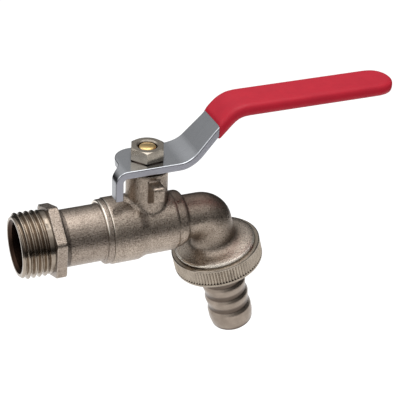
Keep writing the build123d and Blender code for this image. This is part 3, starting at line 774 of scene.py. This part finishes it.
def vinyl_finish():
    """Glossy red vinyl with a shallow ripple from dipping."""
    finish, tree, shader = new_finish("red vinyl", metallic=0.0)
    grain = place(tree, shot_blast, {"Size": 0.9, "Mottle": 7.0})
    rubbed = place(tree, rubbed_edges, {"Reach": 0.6})["Mask"]
    colour = between(tree, spread(tree, grain["Cloud"], 0.35, 0.7), SLEEVE_RED, SLEEVE_DEEP)
    rough = spread(tree, grain["Cloud"], 0.35, 0.65, 0.34, 0.44)
    rough = graded(tree, rubbed, rough, 0.3)
    height = reckon(tree, "MULTIPLY", grain["Height"], 0.012)
    wire(tree, shader, Base_Color=colour, Roughness=rough, Normal=bumped(tree, height))
    shader.inputs["Specular IOR Level"].default_value = 0.3
    return finish


def sleeve_freedom(points):
    """0 where the sleeve lies on the steel and 1 on its outside, which dipping leaves rounded."""
    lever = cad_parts["lever"]
    steel = [lever.matrix_world @ corner.co / MM for corner in lever.data.vertices]
    steel = BVHTree.FromPolygons(steel, [face.vertices for face in lever.data.polygons])
    wall = np.array([steel.find_nearest(point)[3] for point in points])
    return np.clip((wall - SLEEVE_HELD) / SLEEVE_BLEND, 0, 1)


sleeve_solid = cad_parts["grip_sleeve"]
red_vinyl = vinyl_finish()
sleeve = softened_copy("dipped_sleeve", sleeve_solid, SLEEVE_GRID, SLEEVE_PASSES, sleeve_freedom, red_vinyl)
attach(sleeve, "handle")
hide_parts("grip_sleeve")

# Lever nut: a thin cold-formed M6 nut, nickel plated, that holds the lever on the stem's flats.
# Its top is turned and bevelled, and a painted shadow darkens its foot where it stands on the lever.
NUT_FOOT = 24.6
NUT_LIGHT = (0.47, 0.42, 0.355, 1)
NUT_DARK = (0.29, 0.255, 0.21, 1)

# The nut's foot carries a painted shadow line.
nut_finish = turned_finish(
    "plated nut", BALL_CENTRE, STEM_AXIS, NUT_LIGHT, NUT_DARK,
    roughness=0.26, feed=0.18, lines=0.05, foot=NUT_FOOT,
)
dress(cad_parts["lever_nut"], nut_finish)

# Hose tail: turned from brass bar, with four low rounded barbs and a long nose, then nickel plated.
# Its collar sits on a flat gasket of black rubber under the spout.
GROOVE_RADIUS = 7.08
TAIL_LIGHT = (0.38, 0.315, 0.262, 1)
TAIL_DARK = (0.235, 0.19, 0.154, 1)
RUBBER_BLACK = (0.020, 0.020, 0.021, 1)
RUBBER_DUSTY = (0.055, 0.053, 0.050, 1)


def rubber_finish():
    """Black rubber with a little bloom."""
    finish, tree, shader = new_finish("black rubber", metallic=0.0)
    grain = place(tree, shot_blast, {"Size": 0.3, "Mottle": 3.0})
    colour = between(tree, spread(tree, grain["Cloud"], 0.4, 0.75), RUBBER_BLACK, RUBBER_DUSTY)
    rough = spread(tree, grain["Speck"], 0.3, 0.7, 0.55, 0.72)
    height = reckon(tree, "MULTIPLY", grain["Height"], 0.05)
    wire(tree, shader, Base_Color=colour, Roughness=rough, Normal=bumped(tree, height))
    return finish


# The barbs' grooves are darkened with painted shade.
tail_finish = turned_finish(
    "satin hose tail", ELBOW_CENTRE, SPOUT_AXIS, TAIL_LIGHT, TAIL_DARK,
    roughness=0.3, feed=0.16, lines=0.06, groove=GROOVE_RADIUS,
)
dress(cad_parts["hose_tail"], tail_finish)
dress(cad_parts["union_gasket"], rubber_finish())

# Union nut: a knurled ring turned from brass, nickel plated, that draws the hose tail to the spout.
# Its upper rim is plain and bevelled, and straight knurling runs from there to the rounded foot.
RING_LIGHT = (0.45, 0.385, 0.315, 1)
RING_DARK = (0.25, 0.21, 0.168, 1)

ring_finish = turned_finish(
    "knurled ring", ELBOW_CENTRE, SPOUT_AXIS, RING_LIGHT, RING_DARK, roughness=0.22, feed=0.14, lines=0.05
)
dress(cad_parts["union_nut"], ring_finish)

# Studio: a plain pale floor well below the tap, clear from beneath, and one wide soft light above it.
# A ring of grey card stands around for the metal to mirror, and the camera never sees it.
FLOOR_Z = -110.0
FLOOR_SIZE = 4000.0
FLOOR_GLOW = 0.62
CARD_COLUMNS = 64
CARD_RADIUS = 330.0
CARD_TOP = 330.0
CARD_GREYS = ((0.12, 0.02), (0.30, 0.02), (0.42, 0.24), (0.6, 0.4))
INLET_SIDE_LEVEL = 1.5
SPOUT_SIDE_LEVEL = 0.5
WHITE_CARD_FROM = 270.0
WHITE_CARD_TO = 230.0
WHITE_CARD_LEVEL = 1.8
WORLD_FILL = 0.65
FLOOR_PALE = (0.60, 0.60, 0.60, 1)
CARD_FOOT = (0.2, 0.2, 0.2, 1)
CARD_PALE = (0.6, 0.6, 0.6, 1)
WHITE = (1, 1, 1, 1)


def seen_directly(tree):
    """1 for rays from the camera and for those that metal or glass sends on."""
    path = put(tree, "ShaderNodeLightPath").outputs
    seen = reckon(tree, "MAXIMUM", path["Is Camera Ray"], path["Is Glossy Ray"])
    return reckon(tree, "MAXIMUM", seen, path["Is Transmission Ray"])


def make_floor():
    """Pale paper that glows a little where it is seen and can be looked through from beneath."""
    half = FLOOR_SIZE / 2
    corners = [(x * half, y * half, FLOOR_Z) for x, y in ((-1, -1), (1, -1), (1, 1), (-1, 1))]
    finish, tree = bare_finish("pale floor")
    paper = put(tree, "ShaderNodeBsdfDiffuse", {"Color": FLOOR_PALE})
    lift = reckon(tree, "MULTIPLY", seen_directly(tree), FLOOR_GLOW)
    glow = put(tree, "ShaderNodeEmission", {"Color": WHITE, "Strength": lift})
    both = put(tree, "ShaderNodeAddShader", {0: paper.outputs[0], 1: glow.outputs[0]})
    beneath = put(tree, "ShaderNodeNewGeometry").outputs["Backfacing"]
    clear = put(tree, "ShaderNodeBsdfTransparent").outputs[0]
    shown = put(tree, "ShaderNodeMixShader", {0: beneath, 1: both.outputs[0], 2: clear})
    put(tree, "ShaderNodeOutputMaterial", {0: shown.outputs[0]})
    floor = new_piece("floor", corners, [(0, 1, 2, 3)], [finish])


def make_card():
    """Ring of card that only reflections see: dark low down, pale at its top, brightest beyond the inlet."""
    points, faces = [], []
    for column in range(CARD_COLUMNS):
        angle = 2 * math.pi * column / CARD_COLUMNS
        x = STEM_X + CARD_RADIUS * math.cos(angle)
        y = CARD_RADIUS * math.sin(angle)
        points += [(x, y, FLOOR_Z), (x, y, CARD_TOP)]
        after = (column + 1) % CARD_COLUMNS
        faces.append((2 * column, 2 * after, 2 * after + 1, 2 * column + 1))
    finish, tree = bare_finish("grey card")
    spot = surface(tree, "Object")
    rise = spread(tree, spot["Z"], FLOOR_Z * MM, CARD_TOP * MM)
    greys = put(tree, "ShaderNodeValToRGB", {0: rise})
    ramp = greys.color_ramp
    ramp.elements[0].color = CARD_FOOT
    ramp.elements[1].color = CARD_PALE
    for share, grey in CARD_GREYS:
        ramp.elements.new(share).color = (grey, grey, grey, 1)
    inlet_end = (STEM_X - CARD_RADIUS) * MM
    spout_end = (STEM_X + CARD_RADIUS) * MM
    level = spread(tree, spot["X"], inlet_end, spout_end, INLET_SIDE_LEVEL, SPOUT_SIDE_LEVEL)
    white_from = (STEM_X - WHITE_CARD_FROM) * MM
    white_to = (STEM_X - WHITE_CARD_TO) * MM
    white = spread(tree, spot["X"], white_from, white_to, WHITE_CARD_LEVEL, 0.0)
    white = reckon(tree, "MULTIPLY", white, spread(tree, rise, 0.45, 0.55))
    strength = reckon(tree, "ADD", level, white)
    shade = put(tree, "ShaderNodeEmission", {"Color": greys.outputs[0], "Strength": strength})
    put(tree, "ShaderNodeOutputMaterial", {0: shade.outputs[0]})
    card = new_piece("grey_card", points, faces, [finish])
    card.visible_camera = False
    card.visible_diffuse = False
    card.visible_shadow = False
    card.visible_transmission = False


make_floor()
make_card()

world = bpy.data.worlds.new("white studio")
bpy.context.scene.world = world
world.use_nodes = True
world_tree = world.node_tree
world_tree.nodes.clear()
world_level = graded(world_tree, seen_directly(world_tree), WORLD_FILL, 1.0)
backdrop = put(world_tree, "ShaderNodeBackground", {"Color": WHITE, "Strength": world_level})
put(world_tree, "ShaderNodeOutputWorld", {0: backdrop.outputs[0]})

lamp = bpy.data.lights.new("overhead softbox", "AREA")
lamp.shape = "RECTANGLE"
lamp.size = 0.40
lamp.size_y = 0.40
lamp.energy = 0.85
softbox = bpy.data.objects.new("overhead_softbox", lamp)
softbox.location = (0.05, 0.06, 0.48)
bpy.context.scene.collection.objects.link(softbox)

# Camera: a long lens, above the tap and a little to the inlet's side, tipped slightly.
# Its place was fitted to the outline of the tap in the photograph.
CAMERA_AZIMUTH = math.radians(-23.716)
CAMERA_ELEVATION = math.radians(30.186)
CAMERA_ROLL = math.radians(2.567)
CAMERA_DISTANCE = 415.755
CAMERA_AIM = Vector((59.22, -2.43, 6.81))

level_right = Vector((math.cos(CAMERA_AZIMUTH), math.sin(CAMERA_AZIMUTH), 0))
back = Vector(
    (
        math.sin(CAMERA_AZIMUTH) * math.cos(CAMERA_ELEVATION),
        -math.cos(CAMERA_AZIMUTH) * math.cos(CAMERA_ELEVATION),
        math.sin(CAMERA_ELEVATION),
    )
)
level_up = back.cross(level_right)
right = level_right * math.cos(CAMERA_ROLL) + level_up * math.sin(CAMERA_ROLL)
up = level_up * math.cos(CAMERA_ROLL) - level_right * math.sin(CAMERA_ROLL)
lens = bpy.data.cameras.new("studio camera")
lens.sensor_width = 36
lens.lens = 117
lens.clip_start = 0.01
camera = bpy.data.objects.new("studio_camera", lens)
stand = Matrix((right, up, back)).transposed().to_4x4()
stand.translation = (CAMERA_AIM + back * CAMERA_DISTANCE) * MM
camera.matrix_world = stand
bpy.context.scene.collection.objects.link(camera)
bpy.context.scene.camera = camera

bpy.context.scene.view_settings.view_transform = "Standard"
